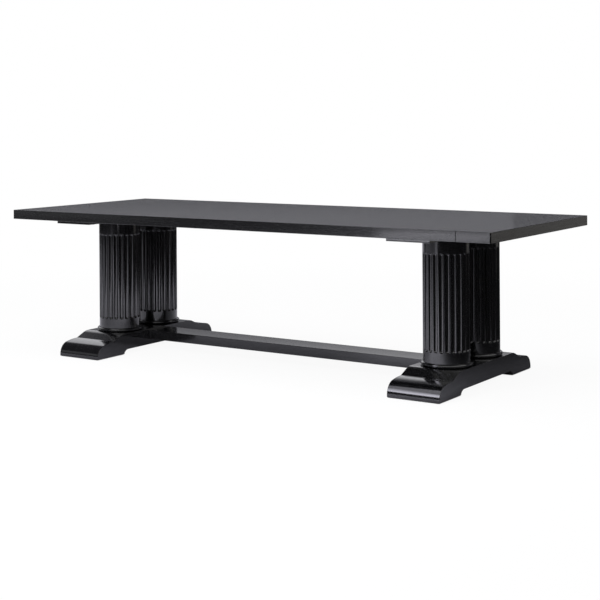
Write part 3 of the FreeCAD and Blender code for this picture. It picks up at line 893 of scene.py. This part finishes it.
@dataclass(frozen=True)
class Flute:
    """A round groove along a shaft, with round ends and rounded arrises."""

    shaft: float
    groove: float
    standoff: float
    arris: float

    @property
    def reach(self) -> float:
        """From the shaft's axis to the groove's."""
        return self.shaft + self.standoff

    @property
    def end(self) -> float:
        """From the middle of a round end to where the groove has run out."""
        return math.sqrt((self.groove + self.arris) ** 2 - (self.standoff + self.arris) ** 2)

    def cut(self, beyond: float) -> float:
        """Radius of the groove at a level.

        Args:
            beyond: how far the level lies beyond the middle of a round end.

        Returns:
            The radius, down to the standoff where the groove has run out.
        """
        if beyond >= self.end:
            return self.standoff
        if beyond <= self.end * self.groove / (self.groove + self.arris):
            return math.sqrt(self.groove ** 2 - beyond ** 2)
        return self.standoff + self.arris - math.sqrt(self.arris ** 2 - (self.end - beyond) ** 2)

    def seat(self, cut: float) -> Vector:
        """Find the middle of the arris's rounding.

        Args:
            cut: radius of the groove at this level.

        Returns:
            The middle, seen from the shaft's axis.
        """
        inner = self.shaft - self.arris
        cosine = (inner ** 2 + self.reach ** 2 - (cut + self.arris) ** 2) / (2 * inner * self.reach)
        turn = math.acos(min(cosine, 1.0))
        return inner * Vector((math.cos(turn), math.sin(turn)))

    def radius_at(self, turn: float, cut: float) -> float:
        """Radius of the fluted shaft.

        Args:
            turn: angle from the middle of the flute.
            cut: radius of the groove at this level.

        Returns:
            The radius there.
        """
        seat = self.seat(cut)
        edge = math.atan2(seat.y, seat.x)
        axis = Vector((self.reach, 0))
        touch = axis + (seat - axis) * cut / (cut + self.arris)
        if turn >= edge:
            return self.shaft
        if turn > math.atan2(touch.y, touch.x):
            off = edge - turn
            beyond = math.sqrt(self.arris ** 2 - (seat.length * math.sin(off)) ** 2)
            return seat.length * math.cos(off) + beyond
        return self.reach * math.cos(turn) - math.sqrt(cut ** 2 - (self.reach * math.sin(turn)) ** 2)

    def turns(self, half_pitch: float, flute_steps: int, arris_steps: int,
              land_steps: int) -> List[float]:
        """Choose the angles of the points across one pitch, closest together on the arrises.

        Args:
            half_pitch: from the middle of the flute to the middle of the land.
            flute_steps: points from the middle of the flute to its side.
            arris_steps: points around one arris.
            land_steps: points from an arris to the middle of the land.

        Returns:
            The angles from the middle of the flute on, round to the point before it.
        """
        seat = self.seat(self.groove)
        edge = math.atan2(seat.y, seat.x)
        axis = Vector((self.reach, 0))
        side = math.atan2(seat.y, self.reach - seat.x)
        half = []
        for step in range(flute_steps):
            turn = side * step / flute_steps
            half.append(axis + self.groove * Vector((-math.cos(turn), math.sin(turn))))
        for step in range(arris_steps):
            turn = -side + (edge + side) * step / arris_steps
            half.append(seat + self.arris * Vector((math.cos(turn), math.sin(turn))))
        angles = [math.atan2(point.y, point.x) for point in half]
        angles += [edge + (half_pitch - edge) * step / land_steps for step in range(land_steps + 1)]
        return angles + [-angle for angle in reversed(angles[1:-1])]


@dataclass
class Columns:
    """The four fluted shafts on their turned bases."""

    bore_radius: float = 0.075
    flute_count: int = 24
    flute_radius: float = 0.011
    flute_standoff: float = 0.0033
    arris: float = 0.0022
    bottom_margin: float = 0.048
    top_margin: float = 0.071
    flute_steps: int = 8
    arris_steps: int = 5
    land_steps: int = 2
    end_steps: int = 12
    base_steps: int = 10
    base_sides: int = 144
    spigot_radius: float = 0.0745

    def build(self) -> None:
        """Make one column and its base, then copy them to the other corners."""
        first = CORNERS[0]
        shaft = self.shaft(first)
        base = self.base(first)
        origin = self.axis(first)
        for corner in CORNERS[1:]:
            move = self.axis(corner) - origin
            copy = Workpiece.copy_of(shaft, f"fluted_column_{corner}", move)
            copy.done(SHAFT_FINISH, "trestle_wood", f"column_{corner}")
            copy = Workpiece.copy_of(base, f"turned_base_{corner}", move)
            copy.done(SHAFT_FINISH, "trestle_wood", f"column_base_{corner}")
        shaft.done(SHAFT_FINISH, "trestle_wood", f"column_{first}")
        base.done(SHAFT_FINISH, "trestle_wood", f"column_base_{first}")

    @staticmethod
    def axis(corner: str) -> Vector:
        """Middle of a column's lower face."""
        low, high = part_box(f"column_{corner}")
        return Vector(((low.x + high.x) / 2, (low.y + high.y) / 2, low.z))

    def shaft(self, corner: str) -> Workpiece:
        """Draw a ring up into a tube, level by level, and press the flutes into its levels.

        The flutes run out round at both ends and every arris is rounded, which no cutter leaves.

        Args:
            corner: which column.

        Returns:
            The shaft on the bench.
        """
        low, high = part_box(f"column_{corner}")
        foot = self.axis(corner)
        flute = Flute((high.x - low.x) / 2, self.flute_radius, self.flute_standoff, self.arris)
        ends = (low.z + self.bottom_margin + flute.end, high.z - self.top_margin - flute.end)
        turns = flute.turns(math.pi / self.flute_count, self.flute_steps, self.arris_steps,
                            self.land_steps)
        start_fresh()
        bpy.ops.mesh.primitive_circle_add(vertices=self.flute_count * len(turns),
                                          radius=flute.shaft, location=foot)
        shaft = Workpiece(f"fluted_column_{corner}").settle()
        shaft.pick(Pick.VERTEX, lambda place, normal: True)
        quarter = math.pi / 2 / self.end_steps
        runs = [flute.end * math.sin(quarter * step) for step in range(self.end_steps + 1)]
        lower = [ends[0] - run for run in reversed(runs)]
        upper = [ends[1] + run for run in runs]
        levels = [low.z, *lower, *upper, high.z]
        for below, above in zip(levels, levels[1:]):
            shaft.extrude(Vector((0, 0, above - below)))
        narrow = self.bore_radius / flute.shaft
        shaft.extrude(Vector((0, 0, 0))).stretch((narrow, narrow, 1), foot)
        shaft.extrude(Vector((0, 0, low.z - high.z)))
        shaft.pick(Pick.EDGE, lambda place, heading: place.z < low.z + TINY and abs(heading.z) < LEVEL)
        bpy.ops.mesh.bridge_edge_loops()
        self.press(shaft, foot, flute, turns, ends)
        return shaft.mend()

    def press(self, shaft: Workpiece, foot: Vector, flute: Flute, turns: Sequence[float],
              ends: Span) -> None:
        """Move the outer points of a plain shaft on to its fluted form.

        Args:
            shaft: the shaft on the bench.
            foot: middle of its lower face.
            flute: the form of one flute.
            turns: angles of one pitch's points, from the flute's middle.
            ends: heights of the flute's two end centres.
        """
        shaft.hold()
        pitch = math.tau / self.flute_count
        for point in shaft.thing.data.vertices:
            away = point.co - foot
            if away.xy.length > (flute.shaft + self.bore_radius) / 2:
                index = round(math.atan2(away.y, away.x) % math.tau / pitch * len(turns))
                turn = turns[index % len(turns)]
                heading = (index // len(turns) + (turn < 0)) * pitch + turn
                cut = flute.cut(max(ends[0] - point.co.z, point.co.z - ends[1], 0.0))
                radius = flute.radius_at(abs(turn), cut)
                point.co = (foot.x + radius * math.cos(heading),
                            foot.y + radius * math.sin(heading), point.co.z)

    def base(self, corner: str) -> Workpiece:
        """Turn a base with a half-round edge and a spigot.

        Args:
            corner: which column.

        Returns:
            The base on the bench.
        """
        low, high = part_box(f"column_base_{corner}")
        radius = (high.x - low.x) / 2
        foot = self.axis(corner)
        foot.z = low.z
        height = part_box(f"column_{corner}")[0].z - low.z
        base = Workpiece.turned(f"turned_base_{corner}", radius, foot, height, self.base_sides)
        round_edge = height / 2 - TINY
        base.pick(Pick.EDGE, lambda place, heading: abs(heading.z) < LEVEL)
        base.bevel(round_edge, self.base_steps)
        base.pick(Pick.FACE, lambda place, normal: normal.z > 1 - TINY)
        bpy.ops.mesh.inset(thickness=radius - round_edge - self.spigot_radius)
        base.extrude(Vector((0, 0, high.z - low.z - height)))
        return base.mend()


@dataclass
class SledFoot:
    """One sled foot: pads, arch, bullnosed toes, and the flat that carries the columns."""

    side: str
    top_length: float = 0.540
    toe_height: float = 0.0795
    toe_face_height: float = 0.011
    toe_length: float = 0.130
    toe_nose_radius: float = 0.061
    incline_length: float = 0.050
    incline_rise: float = 0.0213
    arch_height: float = 0.024
    pad_length: float = 0.213
    pad_step: float = 0.005
    cove_length: float = 0.032
    arris: float = 0.0018
    arris_steps: int = 3
    arc_step: float = math.radians(3)
    recess_depth: float = 0.040
    washer_clearance: float = 0.002
    crisp_angle: float = 20.0

    def build(self) -> None:
        """Draw half of the side, give it its width, mirror it, soften it and bore its bolt seats."""
        low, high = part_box(f"foot_{self.side}")
        foot = self.half_side(low, high)
        foot.extrude(Vector((high.x - low.x, 0, 0)))
        foot.mend().pick(Pick.FACE, lambda place, normal: place.y < TINY)
        bpy.ops.mesh.delete(type="FACE")
        foot.modify("MIRROR", use_axis=(False, True, False), merge_threshold=TINY).mend()
        faces = (low.x, high.x)
        foot.pick(Pick.EDGE, lambda place, heading: min(abs(place.x - face) for face in faces) < TINY)
        foot.bevel(self.arris, self.arris_steps)
        washers = solids_within(low, high, "tie_rod_washers", "stretcher_bolt_washers")
        foot.bore(washers, self.washer_clearance, self.recess_depth + self.washer_clearance)
        foot.mend().done(SLED_FINISH, "trestle_wood", f"foot_{self.side}", angle=self.crisp_angle)

    def half_side(self, low: Vector, high: Vector) -> Workpiece:
        """Draw the outline of the rear half with straight runs and spun arcs, and fill it.

        Args:
            low: lowest corner of the foot.
            high: its highest corner.

        Returns:
            The filled outline, all of it picked.
        """
        toe = high.y
        crest = toe - self.toe_length
        incline = crest - self.incline_length
        incline_top = self.toe_height + self.incline_rise
        flat = self.top_length / 2
        pad = toe - self.pad_length
        cove = pad - self.cove_length
        step_top = low.z + self.pad_step
        cove_radius = sweep(self.cove_length, self.arch_height - step_top)
        nose_radius = self.toe_nose_radius
        start_fresh()
        bpy.ops.mesh.primitive_plane_add(size=self.arris, location=(low.x, 0, self.arch_height))
        foot = Workpiece(f"sled_foot_{self.side}").settle()
        foot.pick(Pick.VERTEX, lambda place, normal: True)
        bpy.ops.mesh.merge(type="CENTER")
        pen = Pen(low.x, 0, self.arch_height, self.arc_step)
        nose = Vector((toe - nose_radius, self.toe_face_height))
        run = crest - nose.x
        climb = self.toe_height - nose.y
        crown_radius = (run ** 2 + climb ** 2 - nose_radius ** 2) / (2 * (climb - nose_radius))
        crown = Vector((crest, self.toe_height - crown_radius))
        nose_end = nose + (nose - crown).normalized() * nose_radius
        pen.line(cove, self.arch_height)
        pen.arc(pad, step_top, Vector((cove, self.arch_height - cove_radius)))
        pen.line(pad, low.z)
        pen.line(toe, low.z)
        pen.line(toe, self.toe_face_height)
        pen.arc(nose_end.x, nose_end.y, nose)
        pen.arc(crest, self.toe_height, crown)
        pen.line(incline, incline_top)
        pen.arc(flat, high.z, Vector((flat, high.z - sweep(incline - flat, high.z - incline_top))))
        pen.line(0, high.z)
        bpy.ops.mesh.select_all(action="SELECT")
        bpy.ops.mesh.edge_face_add()
        return foot


def sweep(run: float, drop: float) -> float:
    """Radius of an arc that starts level and drops by so much over a run."""
    return (run ** 2 + drop ** 2) / (2 * drop)


class Pen:
    """Draws an outline across the table, in a plane that stands square to its length."""

    FEWEST_ARC_STEPS = 2

    def __init__(self, plane: float, y: float, z: float, arc_step: float) -> None:
        """Start at a point that is already picked.

        Args:
            plane: place of the plane along the table.
            y: start, across the table.
            z: start, up.
            arc_step: turn between two points of an arc.
        """
        self.plane = plane
        self.spot = Vector((y, z))
        self.arc_step = arc_step

    def line(self, y: float, z: float) -> None:
        """Draw a straight run to a point.

        Args:
            y: end of the run, across the table.
            z: end of the run, up.
        """
        move = Vector((y, z)) - self.spot
        bpy.ops.mesh.extrude_region_move(TRANSFORM_OT_translate={"value": (0, move.x, move.y)})
        self.spot = Vector((y, z))

    def arc(self, y: float, z: float, centre: Vector) -> None:
        """Draw the shorter arc about a centre to a point.

        Args:
            y: end of the arc, across the table.
            z: end of the arc, up.
            centre: middle of the arc.
        """
        first = self.spot - centre
        last = Vector((y, z)) - centre
        turn = math.atan2(first.x * last.y - first.y * last.x, first.dot(last))
        steps = max(self.FEWEST_ARC_STEPS, round(abs(turn) / self.arc_step))
        bpy.ops.mesh.spin(steps=steps, dupli=False, angle=turn, center=(self.plane, centre.x, centre.y),
                          axis=(-1, 0, 0))
        self.spot = Vector((y, z))


@dataclass
class Rails:
    """The two bearers under the top and the stretcher between the feet."""

    arris: float = 0.0018
    arris_steps: int = 3
    tenon_width: float = 0.110
    tenon_thickness: float = 0.028

    def build(self) -> None:
        """Make the bearers and the stretcher."""
        for side in SIDES:
            bearer = Workpiece.block(f"flat_bearer_{side}", *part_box(f"bearer_{side}"))
            bearer.soften(self.arris, self.arris_steps)
            bearer.done(SLED_FINISH, "trestle_wood", f"bearer_{side}")
        self.stretcher()

    def stretcher(self) -> None:
        """Make the flat rail with a tenon at each end."""
        low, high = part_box("stretcher")
        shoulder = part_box("foot_right")[0].x
        rail = Workpiece.block("low_stretcher", Vector((-shoulder, low.y, low.z)),
                               Vector((shoulder, high.y, high.z)))
        rail.soften(self.arris, self.arris_steps)
        tenons = Vector((high.x, self.tenon_width / 2, self.tenon_thickness / 2))
        rail.end_tenons(shoulder, (low.z + high.z) / 2, tenons)
        rail.mend().done(RAIL_FINISH, "trestle_wood", "stretcher")


@dataclass
class Hardware:
    """Pegs, plugs, fasteners and glides: their solids are right, and only need their finishes."""

    raw: Tuple[str, ...] = ("end_board_pegs", "base_dowels")
    steel: Tuple[str, ...] = ("tie_rods", "tie_rod_nuts", "tie_rod_washers", "tee_nuts",
                              "bearer_screws", "top_screws", "stretcher_bolts",
                              "stretcher_bolt_washers")
    brass: Tuple[str, ...] = ("stretcher_inserts",)

    def dress(self) -> None:
        """Give every kept solid its finish."""
        raw = self.raw + tuple(f"column_head_{corner}" for corner in CORNERS)
        glides = tuple(f"glides_{corner}" for corner in CORNERS)
        for names, finish in ((raw, RAW_FINISH), (self.steel, STEEL_FINISH),
                              (self.brass, BRASS_FINISH), (glides, GLIDE_FINISH)):
            for name in names:
                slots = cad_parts[name].data.materials
                slots.clear()
                slots.append(finish.material())
                LOG.info("%s: %s", name, finish.name)


@dataclass(frozen=True)
class Softbox:
    """One soft lamp, aimed at a point of the table or of the floor before it."""

    name: str
    place: Place
    aim: Place
    width: float
    height: float
    power: float
    colour: Colour
    mirrored: bool = True
    grid: float = math.pi

    def build(self) -> None:
        """Hang the lamp, with a grid where its beam is narrower than a half circle."""
        start_fresh()
        bpy.ops.object.light_add(type="AREA", location=self.place)
        lamp = bpy.context.object
        lamp.name = self.name
        beam = Vector(self.aim) - Vector(self.place)
        lamp.rotation_euler = beam.to_track_quat("-Z", "Y").to_euler()
        lamp.data.shape = "RECTANGLE"
        lamp.data.size = self.width
        lamp.data.size_y = self.height
        lamp.data.energy = self.power
        lamp.data.color = self.colour
        lamp.data.spread = self.grid
        lamp.visible_camera = False
        lamp.visible_glossy = self.mirrored


@dataclass
class Studio:
    """Pale floor, white background, soft lamps and the camera of the photograph."""

    floor_size: float = 60.0
    floor_drop: float = 0.0003
    sky: Colour = (0.70, 0.70, 0.72)
    # Painted reflection: glossy rays see the background in this dim colour and in the painted pale band
    # below, though no room stands there.
    room: Colour = (0.066, 0.0655, 0.075)
    open_above: Span = (0.2, 0.35)
    open_right: Span = (-0.32, -0.2)
    open_front: Span = (0.45, 0.65)
    painted_band: Colour = (0.80, 0.80, 0.83)
    painted_band_heading: Place = (-0.555, 0.832, 0.0)
    painted_band_side: Span = (0.1, 0.6)
    painted_band_foot: Span = (0.145, 0.225)
    painted_band_slant: Place = (0.82, 0.0, 1.0)
    painted_band_head: Span = (-0.03, 0.12)
    image_side: float = 600.0
    focal_pixels: float = 1348.85
    principal_point: Tuple[float, float] = (289.64, 113.69)
    camera_place: Place = (3.850, -5.7458, 1.2723)
    camera_turn: float = 33.693
    camera_roll: float = -0.3616
    sensor: float = 36.0

    def build(self) -> None:
        """Set up floor, background, lamps and camera."""
        self.floor()
        self.background()
        for lamp in LAMPS:
            lamp.build()
        self.camera()
        bpy.context.scene.view_settings.view_transform = "Standard"

    def floor(self) -> None:
        """Lay the floor just under the glides."""
        start_fresh()
        bpy.ops.mesh.primitive_plane_add(size=self.floor_size, location=(0, 0, -self.floor_drop))
        ground = Workpiece("studio_floor").settle()
        ground.thing.data.materials.append(FLOOR_FINISH.material())

    def background(self) -> None:
        """Make the background white to the camera and a soft light to the wood.

        Glossy rays see a painted reflection: a painted dim studio with a painted pale band at the rear,
        and the white on the open side only.
        """
        world = bpy.data.worlds.new("studio")
        bpy.context.scene.world = world
        nodes = NodeBench(world)
        heading = nodes.add("ShaderNodeTexCoord", output="Generated")
        axes = ((1, 0, 0), (0, 1, 0), (0, 0, 1), self.painted_band_heading, self.painted_band_slant)
        right, rear, up, back, slant = (nodes.reach(heading, axis) for axis in axes)
        # Painted reflection: where glossy rays see the painted pale band.
        painted_band = up.between(*self.painted_band_foot) * (1 - slant.between(*self.painted_band_head))
        painted_band = painted_band * back.between(*self.painted_band_side)
        painted_room_light, painted_band_light, sky_light, white_light = (
            nodes.add("ShaderNodeBackground", {}, {"Color": opaque(colour), "Strength": 1.0})
            for colour in (self.room, self.painted_band, self.sky, WHITE))
        glossy = ray(nodes, Ray.GLOSSY)
        lit = nodes.cross(glossy, sky_light, nodes.cross(painted_band, painted_room_light, painted_band_light))
        open_side = up.between(*self.open_above) * right.between(*self.open_right)
        open_side = open_side * (1 - rear.between(*self.open_front))
        seen = ray(nodes, Ray.CAMERA) + ray(nodes, Ray.TRANSMISSION) + glossy * open_side
        nodes.surface(nodes.cross(seen, lit, white_light))

    def camera(self) -> None:
        """Stand the camera where the photograph was taken."""
        start_fresh()
        bpy.ops.object.camera_add()
        camera = bpy.context.object
        camera.name = "photograph_view"
        camera.matrix_world = (Matrix.Translation(self.camera_place)
                               @ Matrix.Rotation(math.radians(self.camera_turn), 4, "Z")
                               @ Matrix.Rotation(math.pi / 2, 4, "X")
                               @ Matrix.Rotation(math.radians(self.camera_roll), 4, "Z"))
        camera.data.sensor_width = self.sensor
        camera.data.lens = self.sensor * self.focal_pixels / self.image_side
        middle = self.image_side / 2
        camera.data.shift_x = (middle - self.principal_point[0]) / self.image_side
        camera.data.shift_y = (self.principal_point[1] - middle) / self.image_side
        bpy.context.scene.camera = camera


LAMPS = (
    Softbox("front_softbox", (0.1, -2.0, 1.035), (1.0, -0.45, 0.315), 0.7, 0.85, 0.71,
            (0.9, 0.895, 1.0), grid=0.75),
    Softbox("upper_softbox", (-0.6, -2.0, 2.6), (1.0, -0.45, 0.05), 1.0, 2.2, 10.0, COOL_LIGHT),
    Softbox("low_strip", (0.34, -2.2, 0.57), (1.2, -0.55, 0.74), 0.75, 0.06, 0.65, COOL_LIGHT),
    Softbox("rear_panel", (-1.5, 2.0, 1.12), (-0.3, 0.0, 0.76), 3.4, 0.36, 0.27, COOL_LIGHT),
    Softbox("rear_right_softbox", (3.0, 3.7, 0.5), (1.4, 0.0, 0.5), 1.6, 1.2, 1.25,
            (1.0, 0.97, 0.92)),
    Softbox("left_softbox", (-3.7, -3.3, 0.93), (-1.0, -0.4, 0.1), 1.4, 1.0, 1.3,
            (0.95, 0.97, 1.0)),
    Softbox("floor_softbox", (-0.1, -3.0, 2.0), (-0.1, -3.0, 0.0), 1.2, 3.5, 60.0,
            (0.97, 0.97, 1.0), mirrored=False),
    Softbox("overhead_softbox", (0.0, -0.6, 4.2), (0.0, 0.0, 0.7), 4.0, 2.5, 60.0,
            WHITE, mirrored=False),
)


def main() -> None:
    """Build, dress and light the table."""
    logging.basicConfig(level=logging.INFO, format="%(message)s")
    TableTop().build()
    Columns().build()
    for side in SIDES:
        SledFoot(side).build()
    Rails().build()
    Hardware().dress()
    Studio().build()
    start_fresh()


if __name__ == "__main__":
    main()
